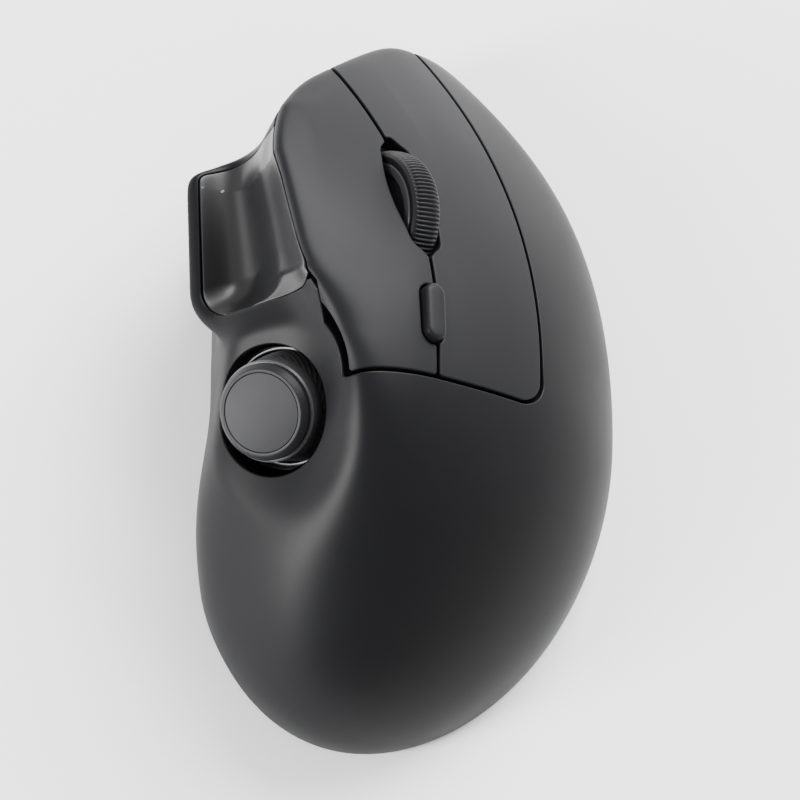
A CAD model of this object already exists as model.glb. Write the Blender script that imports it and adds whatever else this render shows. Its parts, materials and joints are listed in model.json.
import json
import math

import bmesh
import bpy
import numpy as np
from mathutils import Matrix, Vector

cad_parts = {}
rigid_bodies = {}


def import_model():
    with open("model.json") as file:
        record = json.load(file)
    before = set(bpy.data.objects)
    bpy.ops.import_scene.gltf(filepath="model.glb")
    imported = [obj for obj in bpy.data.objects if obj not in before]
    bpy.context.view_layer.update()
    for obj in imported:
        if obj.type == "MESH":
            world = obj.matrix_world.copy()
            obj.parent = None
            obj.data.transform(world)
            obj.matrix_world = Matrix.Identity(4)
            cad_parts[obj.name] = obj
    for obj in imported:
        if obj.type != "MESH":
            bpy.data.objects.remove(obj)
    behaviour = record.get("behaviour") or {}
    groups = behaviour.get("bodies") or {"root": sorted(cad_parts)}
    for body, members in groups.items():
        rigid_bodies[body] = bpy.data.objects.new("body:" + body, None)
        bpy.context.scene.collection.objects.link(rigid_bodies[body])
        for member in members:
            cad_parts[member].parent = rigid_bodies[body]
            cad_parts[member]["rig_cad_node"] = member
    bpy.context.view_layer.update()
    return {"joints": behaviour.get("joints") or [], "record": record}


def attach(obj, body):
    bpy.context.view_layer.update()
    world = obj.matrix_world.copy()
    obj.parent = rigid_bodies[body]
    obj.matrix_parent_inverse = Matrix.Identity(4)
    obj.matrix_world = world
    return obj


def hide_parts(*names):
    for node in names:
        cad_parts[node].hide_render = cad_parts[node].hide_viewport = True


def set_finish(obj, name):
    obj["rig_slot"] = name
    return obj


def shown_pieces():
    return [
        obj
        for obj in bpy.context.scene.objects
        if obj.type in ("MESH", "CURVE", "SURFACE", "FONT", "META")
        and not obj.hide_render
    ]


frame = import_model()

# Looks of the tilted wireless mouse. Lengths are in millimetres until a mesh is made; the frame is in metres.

MM = 0.001
joints = {j["name"]: j for j in frame["joints"]}
slot_of = {s["node"]: s["material_slot"] for s in frame["record"]["subparts"]}


# ---- Small helpers ----

def dot(a, b):
    return (a * b).sum(-1)


def unit(v):
    v = np.asarray(v, float)
    return v / np.maximum(np.linalg.norm(v, axis=-1, keepdims=True), 1e-12)


def ease(t):
    """A smooth step from 0 to 1."""
    t = np.clip(t, 0, 1)
    return t * t * (3 - 2 * t)


def smax(a, b, k):
    """The larger of two distances, blended over about k where they meet."""
    return np.maximum(a, b) + k * np.log1p(np.exp(-np.abs(a - b) / k))


def smin(a, b, k):
    return -smax(-a, -b, k)


class Axes:
    """A local frame: coordinates are taken from a point along three directions."""

    def __init__(self, at, x, y, z):
        self.at = np.asarray(at, float)
        self.turn = np.stack([unit(x), unit(y), unit(z)])

    def local(self, p):
        return (p - self.at) @ self.turn.T

    def world(self, q):
        return self.at + np.asarray(q, float) @ self.turn


# ---- Body form: a signed distance, negative inside, the same formula as the CAD covers ----

AHEAD = np.array([0.0, 1.0, 0.0])
TILT = math.radians(26)
YAW = math.radians(5)
ACROSS = np.array([math.cos(TILT), 0, -math.sin(TILT)])
OUT = np.array([math.sin(TILT), 0, math.cos(TILT)])
PLATE_U = math.cos(YAW) * ACROSS + math.sin(YAW) * AHEAD
PLATE_V = math.cos(YAW) * AHEAD - math.sin(YAW) * ACROSS
FOOT_H = 0.6
WALL = 2.0
INSERT_WALL = 1.2
EDGE_BLEND = 0.8
TINY = 1e-3

knob_joint = joints["knob_turn"]
KNOB_AT = np.array(knob_joint["pos_m"]) / MM
KNOB_AXIS = unit(knob_joint["axis"])
KNOB_UP = unit(AHEAD - KNOB_AXIS[1] * KNOB_AXIS)
KNOB = Axes(KNOB_AT, np.cross(KNOB_UP, KNOB_AXIS), KNOB_UP, KNOB_AXIS)

DISH_OUT = unit([-0.6, -0.1, 0.8])
DISH_UP = unit(AHEAD - DISH_OUT[1] * DISH_OUT)
DISH = Axes([-28, 17.9, 32], DISH_UP, np.cross(DISH_UP, DISH_OUT), DISH_OUT)
DISH_LEN, DISH_HALF, DISH_SHIFT, DISH_CORNER, DISH_RIM, BOWL_REACH = 14, 12, 1, 8, 2.6, 3.5
DISH_DEPTH, ROOF_DROP, BOWL_DEPTH = 18, 1.5, 8.5

# Over the buttons: the highest place, and the radii across, ahead and behind
ROOF_AT = np.array([3.8, -5, 43])
ROOF_ACROSS_R, ROOF_AHEAD_R, ROOF_REAR_R = 135, 98, 60

# From above: the middle line, the widest place and curves on the right, the left rear, and the nose
SIDE_X = -2
RIGHT_X, RIGHT_Y, RIGHT_AHEAD_R, RIGHT_REAR = 43.5, -4, 93, 59.2
LEFT_Y, LEFT_HALF, LEFT_REAR = -28, 33.8, 35.2
NOSE_AT, NOSE_R = (17.5, 3), 64.2

# From behind: the height of the widest place, and how slowly the sides draw in below and above it
WAIST_Z, WAIST_BELOW, WAIST_ABOVE = 14, 100, 260
NOSE_CHIN_Z, NOSE_DRAFT = 16, 0.15
FLANK_LEAN, FLANK_REAR, FLANK_AHEAD = math.radians(35), 39, 10


def roof(p):
    """The curved sheet over the buttons and the palm."""
    d = p - ROOF_AT
    u, v = d @ PLATE_U, d @ PLATE_V
    vr = np.where(v > 0, ROOF_AHEAD_R, ROOF_REAR_R)
    height = d @ OUT + u ** 2 / (2 * ROOF_ACROSS_R) + v ** 2 / (2 * vr)
    return height / np.sqrt(1 + (u / ROOF_ACROSS_R) ** 2 + (v / vr) ** 2)


def radial(dx, dy, a, b):
    """Distance to an ellipse of half axes a and b, along the line to its centre."""
    return (np.hypot(dx, dy) + 1e-6) * (1 - 1 / (np.hypot(dx / a, dy / b) + 1e-9))


def right_side(p):
    x, y = np.maximum(p[:, 0], SIDE_X), p[:, 1] - RIGHT_Y
    front = np.hypot(x - RIGHT_X + RIGHT_AHEAD_R, y) - RIGHT_AHEAD_R
    rear = radial(np.maximum(x - SIDE_X, TINY), y, RIGHT_X - SIDE_X, RIGHT_REAR)
    return np.where(y > 0, front, rear)


def left_side(p):
    x, y = np.minimum(p[:, 0] - SIDE_X, -TINY), np.minimum(p[:, 1] - LEFT_Y, 0)
    return radial(x, y, LEFT_HALF, LEFT_REAR)


def waist(z):
    """How far the sides are drawn in at a height."""
    return (z - WAIST_Z) ** 2 / np.where(z < WAIST_Z, WAIST_BELOW, WAIST_ABOVE)


def nose(p):
    reach = np.hypot(p[:, 0] - NOSE_AT[0], np.maximum(p[:, 1] - NOSE_AT[1], 0)) - NOSE_R
    return reach + NOSE_DRAFT * np.maximum(NOSE_CHIN_Z - p[:, 2], 0)


def flank(p):
    """The leaning plane on the thumb's side, which stands further out ahead of the knob."""
    y = p[:, 1]
    reach = FLANK_REAR + FLANK_AHEAD * ease((y + 9) / 18) - 0.0022 * np.minimum(y - 12, 0) ** 2
    return p[:, 2] * math.sin(FLANK_LEAN) - p[:, 0] * math.cos(FLANK_LEAN) - reach


def dome(p):
    """The body without its thumb side. Its edges grow softer towards the rear."""
    sides = np.maximum(right_side(p), left_side(p)) + waist(p[:, 2])
    shoulder_blend = 1.8 + 4.2 * ease((48 - p[:, 1]) / 55)
    flank_blend = 1.2 + 7.8 * ease((2 - p[:, 1]) / 50)
    top = smax(roof(p), sides, shoulder_blend)
    return smax(smax(top, nose(p), EDGE_BLEND), flank(p), flank_blend)


# The thumb's groove: its middle line, radius and depth
GROOVE_R, GROOVE_INSET = 19.5, 1.5
GROOVE_PATH = np.array([[-46, 45, 43], [-43.5, 13, 45], [-34.2, -8, 45.5], [-32, -20, 46]], float)


def capsule(p, a, b):
    """Distance to a round tube from a to b."""
    h = np.clip((p - a) @ (b - a) / ((b - a) @ (b - a)), 0, 1)
    return np.linalg.norm(p - a - h[:, None] * (b - a), axis=1) - GROOVE_R


def groove(p):
    legs = [capsule(p, a, b) for a, b in zip(GROOVE_PATH[:-1], GROOVE_PATH[1:])]
    return GROOVE_INSET + smin(smin(legs[0], legs[1], 3), legs[2], 3)


POD_R, POD_SLOPE, POD_DEPTH = 12.6, math.radians(30), 18


def pod(p):
    """The raised ring round the knob."""
    q = KNOB.local(p)
    side = (np.hypot(q[:, 0], q[:, 1]) - POD_R) * math.cos(POD_SLOPE) + q[:, 2] * math.sin(POD_SLOPE)
    return np.maximum(smax(side, q[:, 2], EDGE_BLEND), -q[:, 2] - POD_DEPTH)


def round_rect(u, v, hu, hv, r):
    """Distance to a rectangle of half sides hu and hv with corners of radius r."""
    qu, qv = np.abs(u) - hu + r, np.abs(v) - hv + r
    return np.minimum(np.maximum(qu, qv), 0) + np.hypot(np.maximum(qu, 0), np.maximum(qv, 0)) - r


def dish_front(p):
    """The plane that ends the dish at the front."""
    return 0.934 * p[:, 1] - 0.356 * p[:, 0] - 43.2


def dish(p):
    """The block that carries the dish."""
    a, b, h = DISH.local(p).T
    s = 0.35 * np.minimum(h, 0)
    side = round_rect(np.minimum(a, 0), b - DISH_SHIFT, DISH_LEN + 0.6 * s, DISH_HALF + s, DISH_CORNER)
    block = np.maximum(smax(side, h, EDGE_BLEND), -h - DISH_DEPTH)
    return smax(smax(block, dish_front(p), EDGE_BLEND), roof(p) + ROOF_DROP, EDGE_BLEND)


LIP_AT, LIP_R = (2.7, 30), 27.2


def lip_wall(p):
    """Left edge of the plates from above: a line, an arc, and a slant that runs on to the nose."""
    x, y = p[:, 0] - LIP_AT[0], p[:, 1] - LIP_AT[1]
    line = 0.98 * (-x - LIP_R - 0.2 * y)
    arc = np.where(-x > y, np.hypot(x, y), (y - x) / math.sqrt(2)) - LIP_R
    return np.where(y < 0, line, arc)


def bowl(p):
    """The hollow of the dish."""
    a, b, h = DISH.local(p).T
    s = 0.45 * np.minimum(h, 0)
    side = round_rect(np.minimum(a, 0), b - DISH_SHIFT - BOWL_REACH, DISH_LEN - DISH_RIM + s,
                      DISH_HALF + BOWL_REACH - DISH_RIM + s, DISH_CORNER - DISH_RIM)
    return smax(smax(side, -BOWL_DEPTH - h, 2.5), 0.8 - lip_wall(p), 3)


LEFT_WALL_X, LEFT_WALL_REAR, LIP_CUT_Z = 30.3, 3, 26


def left_walls(p, s):
    """Cuts the body off at the wall under the dish and at the lip."""
    rear = LEFT_WALL_REAR * ease((-2 - p[:, 1]) / 26)
    wall_x = -p[:, 0] - LEFT_WALL_X - rear + 0.012 * np.maximum(WAIST_Z - p[:, 2], 0) ** 2
    above = smax(dish_front(p), p[:, 2] - LIP_CUT_Z, 2) - 30 * ease((15 - p[:, 1]) / 10)
    return smax(smax(s, wall_x, 1.5), smin(lip_wall(p), above, 2), EDGE_BLEND)


def left_detail(p, s):
    """The thumb side: the groove, the pod, the dish's block and its bowl."""
    grooved = smax(s, -groove(p), 0.6 + 1.9 * ease((14 - p[:, 1]) / 16))
    podded = smin(grooved, pod(p), 4)
    shelf = smin(left_walls(p, podded), dish(p), 1.5)
    return smax(shelf, -bowl(p), 0.4)


def form(p):
    """The whole body. The thumb side fades in to the left of the middle."""
    s = dome(p)
    left = p[:, 0] <= 6
    fade = ease((6 - p[left, 0]) / 8)
    s[left] += (left_detail(p[left], s[left]) - s[left]) * fade
    return s


def gradient(field, p, e=0.02):
    """The direction in which the field grows, from small steps to both sides."""
    steps = np.eye(3) * e
    return np.stack([field(p + s) - field(p - s) for s in steps], -1) / (2 * e)


# ---- Casting rays onto the form ----

# The point inside the body from which all of its surface can be seen
CORE = np.array([-4.0, 2.0, 10.0])


def cast(start, dirs, level=0.0, reach=90.0, halvings=18):
    """Where rays from inside reach the given depth under the surface."""
    lo, hi = np.zeros(len(start)), np.full(len(start), reach)
    for _ in range(halvings):
        mid = (lo + hi) / 2
        inside = form(start + dirs * mid[:, None]) < -level
        lo, hi = np.where(inside, mid, lo), np.where(inside, hi, mid)
    return start + dirs * ((lo + hi) / 2)[:, None]


def surface_point(x, y):
    return cast(np.array([[x, y, 0.0]]), np.array([[0.0, 0.0, 1.0]]))[0]


SPLIT_X, SPLIT_R = 3.1, 88


def split_line(y):
    """Where the gap between the two buttons is: straight at the rear, then an arc to the left."""
    return SPLIT_X - SPLIT_R + np.sqrt(SPLIT_R ** 2 - np.clip(y - 1, 0, 80) ** 2)


wheel_joint = joints["wheel_spin"]
WHEEL_N = -unit(joints["left_tip_travel"]["axis"])
WHEEL_U = unit(wheel_joint["axis"])
WHEEL = Axes(np.array(wheel_joint["pos_m"]) / MM, WHEEL_U, np.cross(WHEEL_N, WHEEL_U), WHEEL_N)
TYRE_R, TYRE_HALF, HUB_R = 11.8, 2.8, 9.6

DPI_N = -unit(joints["dpi_press"]["axis"])
DPI = Axes(surface_point(split_line(3.6) - 1, 3.6), ACROSS, np.cross(DPI_N, ACROSS), DPI_N)


# ---- Meshes ----

def new_object(name, points, faces, normals=None):
    mesh = bpy.data.meshes.new(name)
    mesh.from_pydata((np.asarray(points) * MM).tolist(), [], [list(map(int, f)) for f in faces])
    mesh.polygons.foreach_set("use_smooth", [True] * len(mesh.polygons))
    if normals is not None:
        mesh.normals_split_custom_set_from_vertices(unit(normals).tolist())
    mesh.update()
    obj = bpy.data.objects.new(name, mesh)
    bpy.context.scene.collection.objects.link(obj)
    return obj


def stand_for(obj, node, body):
    """The piece rides on the body, is shown in place of the CAD node and takes the node's finish."""
    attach(obj, body)
    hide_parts(node)
    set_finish(obj, slot_of[node])
    return obj


class Rays:
    """A grid of rays out of the body. Each one meets the form once."""

    def __init__(self, start, dirs, wrap=False):
        self.rows, self.cols = dirs.shape[:2]
        self.start = np.broadcast_to(start, dirs.shape).reshape(-1, 3)
        self.dirs = dirs.reshape(-1, 3)
        self.wrap = wrap

    def triangles(self):
        i, j = np.mgrid[0:self.rows - 1, 0:self.cols - (0 if self.wrap else 1)]
        a, b = i * self.cols + j, i * self.cols + (j + 1) % self.cols
        c, d = a + self.cols, b + self.cols
        lower = np.stack([a, b, d], -1).reshape(-1, 3)
        upper = np.stack([a, d, c], -1).reshape(-1, 3)
        return np.concatenate([lower, upper])


def star_rays(x, y, pole, around, along, wrap=False):
    """Rays out of the core, by angle round the pole and angle towards it."""
    t, e = np.meshgrid(np.radians(around), np.radians(along))
    t, e = t[..., None], e[..., None]
    dirs = np.cos(e) * (np.cos(t) * x + np.sin(t) * y) + np.sin(e) * pole
    return Rays(CORE, dirs, wrap)


def crossing(rays, pairs, region):
    """Where the region's edge crosses the grid edges in pairs, whose first ends are inside."""
    a, b = pairs.T
    lo, hi = np.zeros(len(a)), np.ones(len(a))
    for _ in range(11):
        t = ((lo + hi) / 2)[:, None]
        start = rays.start[a] * (1 - t) + rays.start[b] * t
        dirs = unit(rays.dirs[a] * (1 - t) + rays.dirs[b] * t)
        points = cast(start, dirs)
        inside = region(points) < 0
        lo, hi = np.where(inside, t[:, 0], lo), np.where(inside, hi, t[:, 0])
    return start, dirs, points


def trim(rays, region):
    """Cuts the surface under the rays at the region's edge.
    Returns points, rays, triangles and edge pairs."""
    points = cast(rays.start, rays.dirs)
    inside = region(points) < 0
    tris = rays.triangles()
    count = inside[tris].sum(1)
    whole, mixed = tris[count == 3], tris[(count == 1) | (count == 2)]
    one = inside[mixed].sum(1) == 1
    odd = np.argmax(inside[mixed] == one[:, None], axis=1)
    mixed = mixed[np.arange(len(mixed))[:, None], (odd[:, None] + np.arange(3)) % 3]
    a, b, c = mixed.T
    ends = np.concatenate([np.stack([a, b], 1), np.stack([a, c], 1)])
    flip = ~inside[ends[:, 0]]
    ends[flip] = ends[flip][:, ::-1]
    pairs, index = np.unique(ends, axis=0, return_inverse=True)
    start, dirs, edge_points = crossing(rays, pairs, region)
    ab, ac = len(points) + index.reshape(2, -1)
    corner = np.stack([a, ab, ac], 1)[one]
    rest = np.concatenate([np.stack([ab, b, c], 1)[~one], np.stack([ab, c, ac], 1)[~one]])
    edges = np.concatenate([np.stack([ab, ac], 1)[one], np.stack([ac, ab], 1)[~one]])
    points = np.concatenate([points, edge_points])
    start, dirs = np.concatenate([rays.start, start]), np.concatenate([rays.dirs, dirs])
    faces = np.concatenate([whole, corner, rest])
    used = np.unique(faces)
    new = np.zeros(len(points), int)
    new[used] = np.arange(len(used))
    return points[used], start[used], dirs[used], new[faces], new[edges]


def cover(name, rays, region, radius, inner):
    """A closed piece of the form's surface: its edge is rounded over and it has an inner face.
    inner(points, start, dirs, normals) gives the inner face."""
    points, start, dirs, faces, edges = trim(rays, region)
    normals = unit(gradient(form, points))
    middle = faces[len(faces) // 2]
    turn = np.cross(points[middle[1]] - points[middle[0]], points[middle[2]] - points[middle[0]])
    if turn @ normals[middle[0]] < 0:
        faces, edges = faces[:, ::-1], edges[:, ::-1]
    rim, index = np.unique(edges, return_inverse=True)
    edges = index.reshape(edges.shape)
    n = normals[rim]
    outward = gradient(region, points[rim])
    outward = unit(outward - dot(outward, n)[:, None] * n)
    all_points, all_normals = [points], [normals]
    rings = [rim]
    count = len(points)
    for angle in np.radians([22.5, 45, 67.5, 90]):
        all_points.append(points[rim] + radius * (np.sin(angle) * outward - (1 - np.cos(angle)) * n))
        all_normals.append(np.cos(angle) * n + np.sin(angle) * outward)
        rings.append(count + np.arange(len(rim)))
        count += len(rim)
    inside_points = inner(points, start, dirs, normals)
    deep = dot(points[rim] - inside_points[rim], n)[:, None]
    all_points.append(points[rim] + radius * outward - np.clip(deep, radius, 2) * n)
    all_normals.append(outward)
    rings.append(count + np.arange(len(rim)))
    count += len(rim)
    all_points.append(inside_points)
    all_normals.append(-normals)
    rings.append(count + rim)
    strips = [np.stack([r[edges[:, 1]], r[edges[:, 0]], s[edges[:, 0]], s[edges[:, 1]]], 1)
              for r, s in zip(rings[:-1], rings[1:])]
    polygons = faces.tolist() + (faces[:, ::-1] + count).tolist() + np.concatenate(strips).tolist()
    return new_object(name, np.concatenate(all_points), polygons, np.concatenate(all_normals))


def inner_cast(points, start, dirs, normals):
    """The inner face of a wall that follows the form."""
    return cast(start, dirs, level=WALL)


def inner_shift(points, start, dirs, normals):
    """The inner face of the thin insert."""
    return points - INSERT_WALL * dirs


# ---- Edges of the covers, as distances that are negative inside each region ----

SEAM_Y = -7.2
SEAM_END_Y = 7.0
SEAM_CORNER = 4.5
REAR_SEAM_BEND = 0.0055
LEFT_SEAM_AT, LEFT_SEAM_RUN, LEFT_SEAM_BOW = (-12.4, -9.8), (-8.9, 16.8), 9
RIGHT_SEAM_R = 115
RIGHT_SEAM_AT = (22.9 - RIGHT_SEAM_R, 2)
NOSE_Z = 12.5
LIP = np.array([[9, 48.7], [25, 45.4], [39, 40], [48, 33.7], [52.5, 29.5], [58, NOSE_Z]])
LIP_X = -17.6


def right_edge(p):
    """The right seam: straight at the rear, then an arc to the left."""
    y = np.maximum(p[:, 1] - RIGHT_SEAM_AT[1], 0)
    return np.hypot(p[:, 0] - RIGHT_SEAM_AT[0], y) - RIGHT_SEAM_R


def rear_edge(p):
    """The rear seam: straight on the right, then bent backwards."""
    x = np.minimum(p[:, 0] - 5, 0)
    return (SEAM_Y - REAR_SEAM_BEND * x ** 2 - p[:, 1]) / np.sqrt(1 + (2 * REAR_SEAM_BEND * x) ** 2)


def left_edge(p):
    """A bowed line up to the lip, which starts at SEAM_END_Y."""
    run_x, run_y = LEFT_SEAM_RUN
    t = np.clip((p[:, 1] - LEFT_SEAM_AT[1]) / run_y, -0.3, 1)
    slope = (run_x + LEFT_SEAM_BOW * (1 - 2 * t)) / run_y
    bowed = LEFT_SEAM_AT[0] + run_x * t + LEFT_SEAM_BOW * t * (1 - t) - p[:, 0]
    bowed = bowed / np.sqrt(1 + slope ** 2)
    return np.minimum(bowed, SEAM_END_Y - p[:, 1])


def lip_edge(p):
    """The lower edge of the plates over the thumb, by height along the mouse."""
    line = np.interp(p[:, 1], LIP[:, 0], LIP[:, 1])
    return (line - p[:, 2] - 2 * np.maximum(p[:, 0] - LIP_X, 0)) * 0.9


def rounded(a, b, r):
    """The larger of two distances, with the corner between them rounded to the radius."""
    u, v = np.maximum(a + r, 0), np.maximum(b + r, 0)
    return np.where((u > 0) & (v > 0), np.hypot(u, v) - r, np.maximum(a, b))


def plates_edge(p):
    """The outline of both buttons together."""
    corner = rounded(right_edge(p), rear_edge(p), SEAM_CORNER)
    left = rounded(left_edge(p), rear_edge(p), 0.6)
    return np.maximum(np.maximum(corner, left), np.maximum(lip_edge(p), NOSE_Z - p[:, 2]))


def split_edge(p):
    return p[:, 0] - split_line(p[:, 1])


SLOT_HALF, SLOT_WIDE = 12.9, 4.4
OUTSIDE = 9  # a distance that is safely outside


def wheel_slot(p):
    """A lens with blunt ends, and the room that the tyre needs."""
    u, v, n = WHEEL.local(p).T
    r = (SLOT_HALF ** 2 + SLOT_WIDE ** 2) / (2 * SLOT_WIDE)
    lens = rounded(np.hypot(u - SLOT_WIDE + r, v) - r, np.hypot(u + SLOT_WIDE - r, v) - r, 1.4)
    tyre_room = rounded(np.hypot(v, n) - TYRE_R - 0.7, np.abs(u) - TYRE_HALF - 0.25, 1.5)
    return np.where(n > 0, smin(lens, tyre_room, 0.45), OUTSIDE)


def pill(u, v, length, wide):
    """Distance to a bar with round ends."""
    v = np.maximum(np.abs(v) - (length - wide) / 2, 0)
    return np.hypot(u, v) - wide / 2


DPI_LEN, DPI_WIDE, DPI_GAP = 10, 3.9, 0.35


def dpi_slot(p):
    u, v, n = DPI.local(p).T
    return np.where(n > -6, pill(u, v, DPI_LEN + 2 * DPI_GAP, DPI_WIDE + 2 * DPI_GAP), OUTSIDE)


def insert_edge(p):
    """The outline of the glossy insert in the dish."""
    a, b, h = DISH.local(p).T
    corner = DISH_CORNER - DISH_RIM - 0.4
    side = round_rect(np.minimum(a, 0), b - DISH_SHIFT - 4.5, DISH_LEN - DISH_RIM - 0.4,
                      DISH_HALF + 1.5, corner)
    return np.maximum(rounded(side, dish_front(p) + 0.9, 1), -plates_edge(p))


RECESS_R, RECESS_DEPTH = 10.6, 9
PORT_X, PORT_Z = 4, 9


def recess(p):
    """The round opening that the knob's cup stands in."""
    q = KNOB.local(p)
    return np.where(q[:, 2] > -RECESS_DEPTH, np.hypot(q[:, 0], q[:, 1]) - RECESS_R, OUTSIDE)


def port_opening(p):
    hole = round_rect(p[:, 0] - PORT_X, p[:, 2] - PORT_Z, 4.75, 1.9, 1.85)
    return np.where(p[:, 1] > 40, hole, OUTSIDE)


# Gaps between the covers, the rounding of their edges, and the extra room for a click at the nose
SEAM_GAP, THIN_GAP, SPLIT_GAP, NOSE_GAP, ROUND = 0.55, 0.34, 0.42, 1.2, 0.3
LIP_ROOM, SPLIT_ROOM = 0.45, 0.15
INSERT_GAP = 0.25


def seam_half(p):
    """Half the seam's gap: wide at the rear and the left, thin along the right."""
    right = ease((right_edge(p) + 6) / 4) * ease((p[:, 1] - SEAM_Y - 2) / 8)
    return (SEAM_GAP + (THIN_GAP - SEAM_GAP) * right) / 2


def palm_region(p):
    outside_plates = seam_half(p) + ROUND - plates_edge(p)
    outside_insert = INSERT_GAP - insert_edge(p)
    openings = ROUND - np.minimum(recess(p), port_opening(p))
    bottom = FOOT_H + ROUND - p[:, 2]
    return np.maximum(np.maximum(outside_plates, outside_insert), np.maximum(openings, bottom))


def plate_region(p, side):
    """One plate. The gaps grow towards the nose, where a click moves the plate most."""
    ahead = ease((p[:, 1] - 10) / 45)
    edge = np.maximum(plates_edge(p), lip_edge(p) + LIP_ROOM * ahead) + seam_half(p)
    split = SPLIT_GAP / 2 + SPLIT_ROOM * ahead - side * split_edge(p)
    under = NOSE_Z + NOSE_GAP - p[:, 2]
    slots = -np.minimum(wheel_slot(p), dpi_slot(p))
    return np.maximum(np.maximum(edge, split), np.maximum(under, slots)) + ROUND


def insert_region(p):
    return insert_edge(p) + INSERT_GAP


# ---- Covers ----

def steps(*stops):
    """Angles from stop to stop: (from, to, step) for each stretch."""
    parts = [np.arange(a, b, s) for a, b, s in stops]
    return np.concatenate(parts)


def build_palm():
    x, y, z = np.eye(3)
    around = steps((-130, 115, 1.0), (115, 230, 0.35))
    along = steps((-24, 6, 1.0), (6, 62, 0.4), (62, 84, 1.0))
    rays = star_rays(x, y, z, around, along, wrap=True)
    return cover("palm_cover", rays, palm_region, ROUND, inner_cast)


def build_plate(name, side):
    around = steps((-10, 114, 0.55))
    along = steps((-60, 36, 0.55))
    rays = star_rays(AHEAD, OUT, ACROSS, around, along)
    return cover(name, rays, lambda p: plate_region(p, side), ROUND, inner_cast)


def build_insert():
    a, b = np.meshgrid(np.arange(-14, 26, 0.28), np.arange(-11, 22, 0.28))
    start = DISH.world(np.stack([a, b, np.full(a.shape, -11.0)], -1))
    dirs = np.broadcast_to(DISH_OUT, start.shape)
    rays = Rays(start, dirs)
    return cover("thumb_insert", rays, insert_region, 0.2, inner_shift)


stand_for(build_palm(), "palm_shell", "housing")
stand_for(build_plate("plate_left", -1), "left_button", "left_key")
stand_for(build_plate("plate_right", 1), "right_button", "right_key")
stand_for(build_insert(), "thumb_rest", "housing")


# ---- Turned parts ----

def grid_faces(rows, cols, wrap_rows=False):
    """Four-sided faces between rows of points, where each row is a closed ring."""
    i, j = np.mgrid[0:rows - (0 if wrap_rows else 1), 0:cols]
    a, b = i * cols + j, i * cols + (j + 1) % cols
    c, d = (i + 1) % rows * cols + j, (i + 1) % rows * cols + (j + 1) % cols
    return np.stack([a, b, d, c], -1).reshape(-1, 4)


def fillet(profile, radius, n=4):
    """Rounds the corners of a closed outline. radius is one value, or one for each corner."""
    profile = np.asarray(profile, float)
    radii = np.broadcast_to(radius, len(profile))
    out = []
    for k, point in enumerate(profile):
        before, after = profile[k - 1] - point, profile[(k + 1) % len(profile)] - point
        lb, la = np.linalg.norm(before), np.linalg.norm(after)
        before, after = before / lb, after / la
        half = math.acos(np.clip(before @ after, -1, 1)) / 2
        back = min(radii[k] / math.tan(half), 0.45 * lb, 0.45 * la) if half < 1.5 else 0
        if back < 1e-4:
            out.append(point)
            continue
        r = back * math.tan(half)
        centre = point + unit(before + after) * r / math.sin(half)
        first, last = point + before * back - centre, point + after * back - centre
        for t in np.linspace(0, 1, n + 1):
            out.append(centre + unit(first * (1 - t) + last * t) * r)
    return np.array(out)


def turned(name, axes, profile, count=160, shape=None):
    """A ring turned from a closed outline of (radius, height). shape(r, h, angle) may change the radius."""
    profile = np.asarray(profile, float)
    angle = np.linspace(0, 2 * np.pi, count, endpoint=False)
    r, t = np.meshgrid(profile[:, 0], angle, indexing="ij")
    h = np.broadcast_to(profile[:, 1][:, None], r.shape)
    if shape:
        r = shape(r, h, t)
    points = axes.world(np.stack([r * np.cos(t), r * np.sin(t), h], -1).reshape(-1, 3))
    rows = len(profile)
    obj = new_object(name, points, grid_faces(rows, count, wrap_rows=True))
    return tidy(obj)


def tidy(obj, sharp=35):
    """Welds repeated points, turns every face outwards and keeps sharp corners sharp."""
    bm = bmesh.new()
    bm.from_mesh(obj.data)
    bmesh.ops.remove_doubles(bm, verts=bm.verts, dist=1e-7)
    bmesh.ops.recalc_face_normals(bm, faces=bm.faces)
    bm.to_mesh(obj.data)
    bm.free()
    obj.data.set_sharp_from_angle(angle=math.radians(sharp))
    return obj


# Wheel: its axle is the local z axis
AXLE = Axes(WHEEL.at, WHEEL.turn[1], WHEEL.turn[2], WHEEL.turn[0])
RIBS, RIB_DEPTH = 96, 0.3


def tyre_profile():
    """Closed outline of the tyre, dense over the crown."""
    x = np.linspace(-1, 1, 41)
    crown = TYRE_R - 1.15 * np.abs(x) ** 3.2
    outer = np.stack([crown, x * TYRE_HALF], 1)
    side = [[HUB_R + 0.5, TYRE_HALF], [HUB_R + 0.03, TYRE_HALF - 0.2], [HUB_R + 0.03, 0.2 - TYRE_HALF],
            [HUB_R + 0.5, -TYRE_HALF]]
    return np.concatenate([outer, side])


def ribbed(r, h, angle):
    """Cross ribs over the crown that fade out at the shoulders."""
    wave = 0.5 - 0.5 * np.cos(RIBS * angle)
    depth = RIB_DEPTH * ease((TYRE_HALF - 0.35 - np.abs(h)) / 0.6) * (r > HUB_R + 1)
    return r - depth * (1 - wave) ** 1.5


tyre = turned("tyre_ribbed", AXLE, tyre_profile(), RIBS * 8, ribbed)
stand_for(tyre, "scroll_tyre", "wheel")

hub_outline = [[1.26, -3.4], [2.6, -3.4], [2.6, -1.9], [7.4, -1.9], [8.1, -2.6], [9.35, -2.75], [HUB_R, -2.6],
               [HUB_R, 2.6], [9.35, 2.75], [8.1, 2.6], [7.4, 1.9], [2.6, 1.9], [2.6, 3.4], [1.26, 3.4]]
hub = turned("hub_turned", AXLE, fillet(hub_outline, 0.15))
stand_for(hub, "scroll_hub", "wheel")


# Knob
FLUTES, FLUTE_DEPTH, FLUTE_SLANT, FLUTE_TOP = 36, 0.85, 0.13, 2.6
SKIRT_R, SKIRT_TOP_R, SKIRT_FOOT, SKIRT_TOP = 9.2, 8.3, -5.8, 5.6


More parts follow.
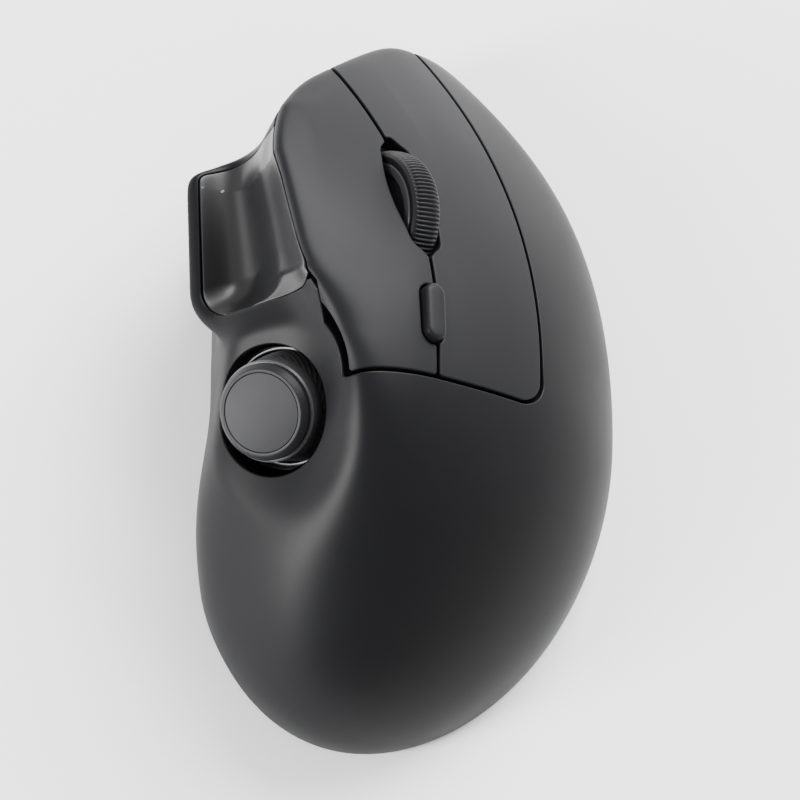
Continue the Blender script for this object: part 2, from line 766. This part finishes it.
def skirt_outline():
    """Closed outline of the knob's skirt, dense up the fluted flank."""
    h = np.linspace(SKIRT_FOOT + 0.3, SKIRT_TOP - 0.3, 44)
    lean = (SKIRT_R - SKIRT_TOP_R) * ease((h - SKIRT_FOOT - 1) / (SKIRT_TOP - SKIRT_FOOT))
    flank_line = np.stack([SKIRT_R - lean, h], 1)
    top = [[SKIRT_TOP_R - 0.25, SKIRT_TOP], [6.2, SKIRT_TOP], [6.2, 5.2], [3.06, 5.2], [3.06, -3], [4.6, -3],
           [4.6, 3.6], [7.3, 3.6], [7.6, SKIRT_FOOT], [SKIRT_R - 0.3, SKIRT_FOOT]]
    return np.concatenate([flank_line, top])


def fluted(r, h, angle):
    """Slanting flutes on the flank, under a smooth band at the top."""
    wave = np.abs(np.sin(FLUTES / 2 * (angle + FLUTE_SLANT * h)))
    depth = FLUTE_DEPTH * ease((FLUTE_TOP - h) / 0.9) * ease((h - SKIRT_FOOT - 0.4) / 0.6) * (r > 8)
    return r - depth * (1 - wave) ** 0.8


skirt = turned("skirt_fluted", KNOB, skirt_outline(), FLUTES * 12, fluted)
stand_for(skirt, "knob_skirt", "knob")

CAP_TOP, INLAY_R = 7.6, 6.5
cap_outline = [[0.0, 5.62], [7.95, 5.62], [7.95, 6.5], [7.1, CAP_TOP], [INLAY_R + 0.08, CAP_TOP],
               [INLAY_R + 0.08, 6.98], [0.0, 6.98]]
cap = turned("cap_turned", KNOB, fillet(cap_outline, [0, 0.2, 0.35, 0.25, 0.06, 0.05, 0]))
stand_for(cap, "knob_cap", "knob")

inlay_outline = [[0.0, 7.0], [INLAY_R, 7.0], [INLAY_R, CAP_TOP - 0.04], [0.0, CAP_TOP - 0.04]]
inlay = turned("inlay_disc", KNOB, fillet(inlay_outline, [0, 0.03, 0.07, 0]))
stand_for(inlay, "knob_inlay", "knob")

bezel_outline = [[3.66, -7.5], [10.5, -7.5], [10.5, -0.9], [10.15, -0.9], [9.9, -1.3], [9.9, -6.5],
                 [3.66, -6.5]]
bezel = turned("bezel_cup", KNOB, fillet(bezel_outline, 0.2))
stand_for(bezel, "knob_bezel", "housing")

trim_outline = [[9.4, -2.6], [9.89, -2.6], [9.89, -2.0], [9.4, -2.0]]
trim_ring = turned("trim_ring", KNOB, fillet(trim_outline, 0.15))
stand_for(trim_ring, "knob_trim", "housing")


# ---- Speed button ----

def stadium(length, wide, inset, n=24):
    """Outline of a pill, moved inwards by inset."""
    r = max(wide / 2 - inset, 0)
    reach = (length - wide) / 2
    t = np.linspace(0, np.pi, n)
    top = np.stack([r * np.cos(t), reach + r * np.sin(t)], 1)
    return np.concatenate([top, -top])


def build_speed_button():
    top = 1.5
    curve = [(0.9 * (1 - math.cos(t)), top - 0.62 * (1 - math.sin(t)))
             for t in np.radians([0, 20, 40, 60, 75, 90])]
    profile = [(DPI_WIDE / 2, -3.9), (-0.8, -3.9), (-0.8, -3.1), (0, -3.1)] + curve
    profile += [(1.2, top + 0.02), (DPI_WIDE / 2, top + 0.03)]
    points = [np.column_stack([stadium(DPI_LEN, DPI_WIDE, d), np.full(48, z)]) for d, z in profile]
    faces = grid_faces(len(profile), 48)
    obj = new_object("speed_button", DPI.world(np.concatenate(points)), faces)
    return tidy(obj, sharp=50)


stand_for(build_speed_button(), "dpi_button", "dpi_key")


# ---- Materials ----

def node_material(name):
    mat = bpy.data.materials.new(name)
    mat.use_nodes = True
    nodes = mat.node_tree.nodes
    return mat, nodes, mat.node_tree.links, nodes["Principled BSDF"]


def noise(nodes, links, scale, detail=4.0):
    coords = nodes.get("Texture Coordinate") or nodes.new("ShaderNodeTexCoord")
    tex = nodes.new("ShaderNodeTexNoise")
    tex.inputs["Scale"].default_value = scale
    tex.inputs["Detail"].default_value = detail
    links.new(coords.outputs["Object"], tex.inputs["Vector"])
    return tex.outputs["Fac"]


def spread(nodes, links, value, low, high):
    ramp = nodes.new("ShaderNodeMapRange")
    ramp.inputs["From Min"].default_value = 0.3
    ramp.inputs["From Max"].default_value = 0.7
    ramp.inputs["To Min"].default_value = low
    ramp.inputs["To Max"].default_value = high
    links.new(value, ramp.inputs["Value"])
    return ramp.outputs["Result"]


def grain(nodes, links, shader, value, strength, distance):
    bump = nodes.new("ShaderNodeBump")
    bump.inputs["Strength"].default_value = strength
    bump.inputs["Distance"].default_value = distance
    links.new(value, bump.inputs["Height"])
    links.new(bump.outputs["Normal"], shader.inputs["Normal"])


def satin(name, color, rough=0.42, texture=0.25, shine=0.15, scale=2600):
    """Moulded or coated surface: fine grain, uneven gloss and a slight change of tone."""
    mat, nodes, links, shader = node_material(name)
    fine = noise(nodes, links, scale, 2.0)
    broad = noise(nodes, links, 60)
    mix = nodes.new("ShaderNodeMix")
    mix.data_type = "RGBA"
    mix.inputs["A"].default_value = [c * 0.93 for c in color] + [1]
    mix.inputs["B"].default_value = [c * 1.07 for c in color] + [1]
    links.new(broad, mix.inputs["Factor"])
    links.new(mix.outputs["Result"], shader.inputs["Base Color"])
    links.new(spread(nodes, links, broad, rough - 0.03, rough + 0.03), shader.inputs["Roughness"])
    shader.inputs["Specular IOR Level"].default_value = shine
    grain(nodes, links, shader, fine, texture, 0.00002)
    return mat


def gloss(name, color, rough=0.12):
    """Polished plastic with a faint orange-peel ripple."""
    mat, nodes, links, shader = node_material(name)
    ripple = noise(nodes, links, 350, 2.0)
    shader.inputs["Base Color"].default_value = list(color) + [1]
    patches = noise(nodes, links, 90)
    links.new(spread(nodes, links, patches, rough - 0.02, rough + 0.03), shader.inputs["Roughness"])
    grain(nodes, links, shader, ripple, 0.05, 0.00003)
    return mat


def metal(name, color, rough=0.28):
    """Turned or drawn metal with fine lines."""
    mat, nodes, links, shader = node_material(name)
    shader.inputs["Base Color"].default_value = list(color) + [1]
    shader.inputs["Metallic"].default_value = 1.0
    lines = noise(nodes, links, 900, 6.0)
    links.new(spread(nodes, links, lines, rough - 0.06, rough + 0.08), shader.inputs["Roughness"])
    grain(nodes, links, shader, lines, 0.15, 0.00002)
    return mat


def board(name):
    """Solder mask with a faint weave under it."""
    mat, nodes, links, shader = node_material(name)
    coords = nodes.new("ShaderNodeTexCoord")
    tracks = nodes.new("ShaderNodeTexBrick")
    tracks.inputs["Scale"].default_value = 400
    tracks.inputs["Mortar Size"].default_value = 0.03
    tracks.inputs["Color1"].default_value = (0.012, 0.09, 0.035, 1)
    tracks.inputs["Color2"].default_value = (0.015, 0.11, 0.045, 1)
    tracks.inputs["Mortar"].default_value = (0.03, 0.18, 0.08, 1)
    links.new(coords.outputs["Object"], tracks.inputs["Vector"])
    links.new(tracks.outputs["Color"], shader.inputs["Base Color"])
    shader.inputs["Roughness"].default_value = 0.3
    grain(nodes, links, shader, tracks.outputs["Fac"], 0.2, 0.00003)
    return mat


def clear(name):
    """Clear moulded lens with slight surface ripple."""
    mat, nodes, links, shader = node_material(name)
    shader.inputs["Base Color"].default_value = (0.9, 0.94, 0.97, 1)
    shader.inputs["Transmission Weight"].default_value = 0.9
    shader.inputs["Roughness"].default_value = 0.08
    grain(nodes, links, shader, noise(nodes, links, 400), 0.04, 0.00003)
    return mat


finishes = {
    "shell_satin": satin("shell_satin", (0.0055, 0.0055, 0.0062), rough=0.4, shine=0.1),
    "plate_satin": satin("plate_satin", (0.0085, 0.0085, 0.0097), rough=0.44, shine=0.1),
    "dish_gloss": gloss("dish_gloss", (0.006, 0.006, 0.0068), rough=0.34),
    "base_black": satin("base_black", (0.014, 0.014, 0.015), rough=0.5),
    "inner_black": satin("inner_black", (0.012, 0.012, 0.013), rough=0.6),
    "pin_steel": metal("pin_steel", (0.6, 0.6, 0.61)),
    "tyre_rubber": satin("tyre_rubber", (0.006, 0.006, 0.007), rough=0.45, texture=0.4),
    "hub_grey": satin("hub_grey", (0.03, 0.03, 0.032), rough=0.35, shine=0.4),
    "switch_black": gloss("switch_black", (0.012, 0.012, 0.013), rough=0.3),
    "plunger_white": gloss("plunger_white", (0.7, 0.7, 0.68), rough=0.35),
    "board_green": board("board_green"),
    "knob_dark": satin("knob_dark", (0.05, 0.05, 0.053), rough=0.38, shine=0.4),
    "cap_grey": satin("cap_grey", (0.0115, 0.0115, 0.013), rough=0.4, shine=0.12),
    "trim_grey": satin("trim_grey", (0.05, 0.05, 0.053), rough=0.3, shine=0.4),
    "lens_clear": clear("lens_clear"),
    "cell_foil": metal("cell_foil", (0.65, 0.66, 0.68), rough=0.35),
    "foam_grey": satin("foam_grey", (0.06, 0.06, 0.06), rough=0.9, texture=0.8, scale=900),
    "port_steel": metal("port_steel", (0.62, 0.62, 0.63)),
    "glide_grey": satin("glide_grey", (0.10, 0.10, 0.105), rough=0.5),
    "screw_steel": metal("screw_steel", (0.35, 0.35, 0.36), rough=0.32),
}


def soften(obj, width):
    """Small rounded edges on a CAD node, as a modifier only."""
    weld = obj.modifiers.new("weld", "WELD")
    weld.merge_threshold = 1e-6
    bevel = obj.modifiers.new("bevel", "BEVEL")
    bevel.width = width * MM
    bevel.segments = 2
    bevel.limit_method = "ANGLE"
    bevel.angle_limit = math.radians(50)
    bevel.harden_normals = True


BEVELS = {"base_plate": 0.2, "front_foot": 0.12, "side_foot": 0.12, "rear_foot": 0.12, "sensor_foot": 0.12,
          "battery": 0.6}
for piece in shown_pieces():
    finish = piece.get("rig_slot") or slot_of[piece["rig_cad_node"]]
    piece.data.materials.clear()
    piece.data.materials.append(finishes[finish])
    if piece.get("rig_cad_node") in BEVELS:
        soften(piece, BEVELS[piece["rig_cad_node"]])


# ---- Stage ----

def build_floor():
    size = 3.0
    mesh = bpy.data.meshes.new("floor")
    corners = [(-size, -size, 0), (size, -size, 0), (size, size, 0), (-size, size, 0)]
    mesh.from_pydata(corners, [], [(0, 1, 2, 3)])
    floor = bpy.data.objects.new("floor", mesh)
    bpy.context.scene.collection.objects.link(floor)
    mat, nodes, links, shader = node_material("floor_pale")
    shader.inputs["Base Color"].default_value = (0.97, 0.97, 0.975, 1)
    shader.inputs["Roughness"].default_value = 0.8
    mesh.materials.append(mat)


def area_light(name, direction, distance, size, watts, target=(0, 0, 0.025)):
    light = bpy.data.lights.new(name, "AREA")
    light.shape = "RECTANGLE"
    light.size, light.size_y = size
    light.energy = watts
    obj = bpy.data.objects.new(name, light)
    away = Vector(unit(direction))
    obj.location = Vector(target) + away * distance
    obj.rotation_mode = "QUATERNION"
    obj.rotation_quaternion = away.to_track_quat("Z", "Y")
    bpy.context.scene.collection.objects.link(obj)


def build_world(strength):
    world = bpy.data.worlds.new("studio")
    world.use_nodes = True
    background = world.node_tree.nodes["Background"]
    background.inputs["Color"].default_value = (1, 1, 1, 1)
    background.inputs["Strength"].default_value = strength
    bpy.context.scene.world = world


def build_camera():
    """The photo's view: from above, a little from the left and from behind."""
    target = Vector((0, -0.0049, 0.025))
    back = Vector((-math.tan(math.radians(10)), -math.tan(math.radians(20)), 1)).normalized()
    up = (Vector((0, 1, 0)) - back.y * back).normalized()
    right = up.cross(back)
    cam = bpy.data.objects.new("camera", bpy.data.cameras.new("camera"))
    cam.data.sensor_width = 36
    cam.data.lens = 140.4
    turn = Matrix((right, up, back)).transposed().to_4x4()
    cam.matrix_world = Matrix.Translation(target + back * 0.52) @ turn
    bpy.context.scene.collection.objects.link(cam)
    bpy.context.scene.camera = cam


build_floor()
build_world(0.95)
area_light("key", (0.45, 0.75, 0.7), 1.1, (0.9, 0.7), 42)
area_light("left", (-0.95, -0.35, 0.32), 0.8, (0.2, 0.6), 16)
build_camera()
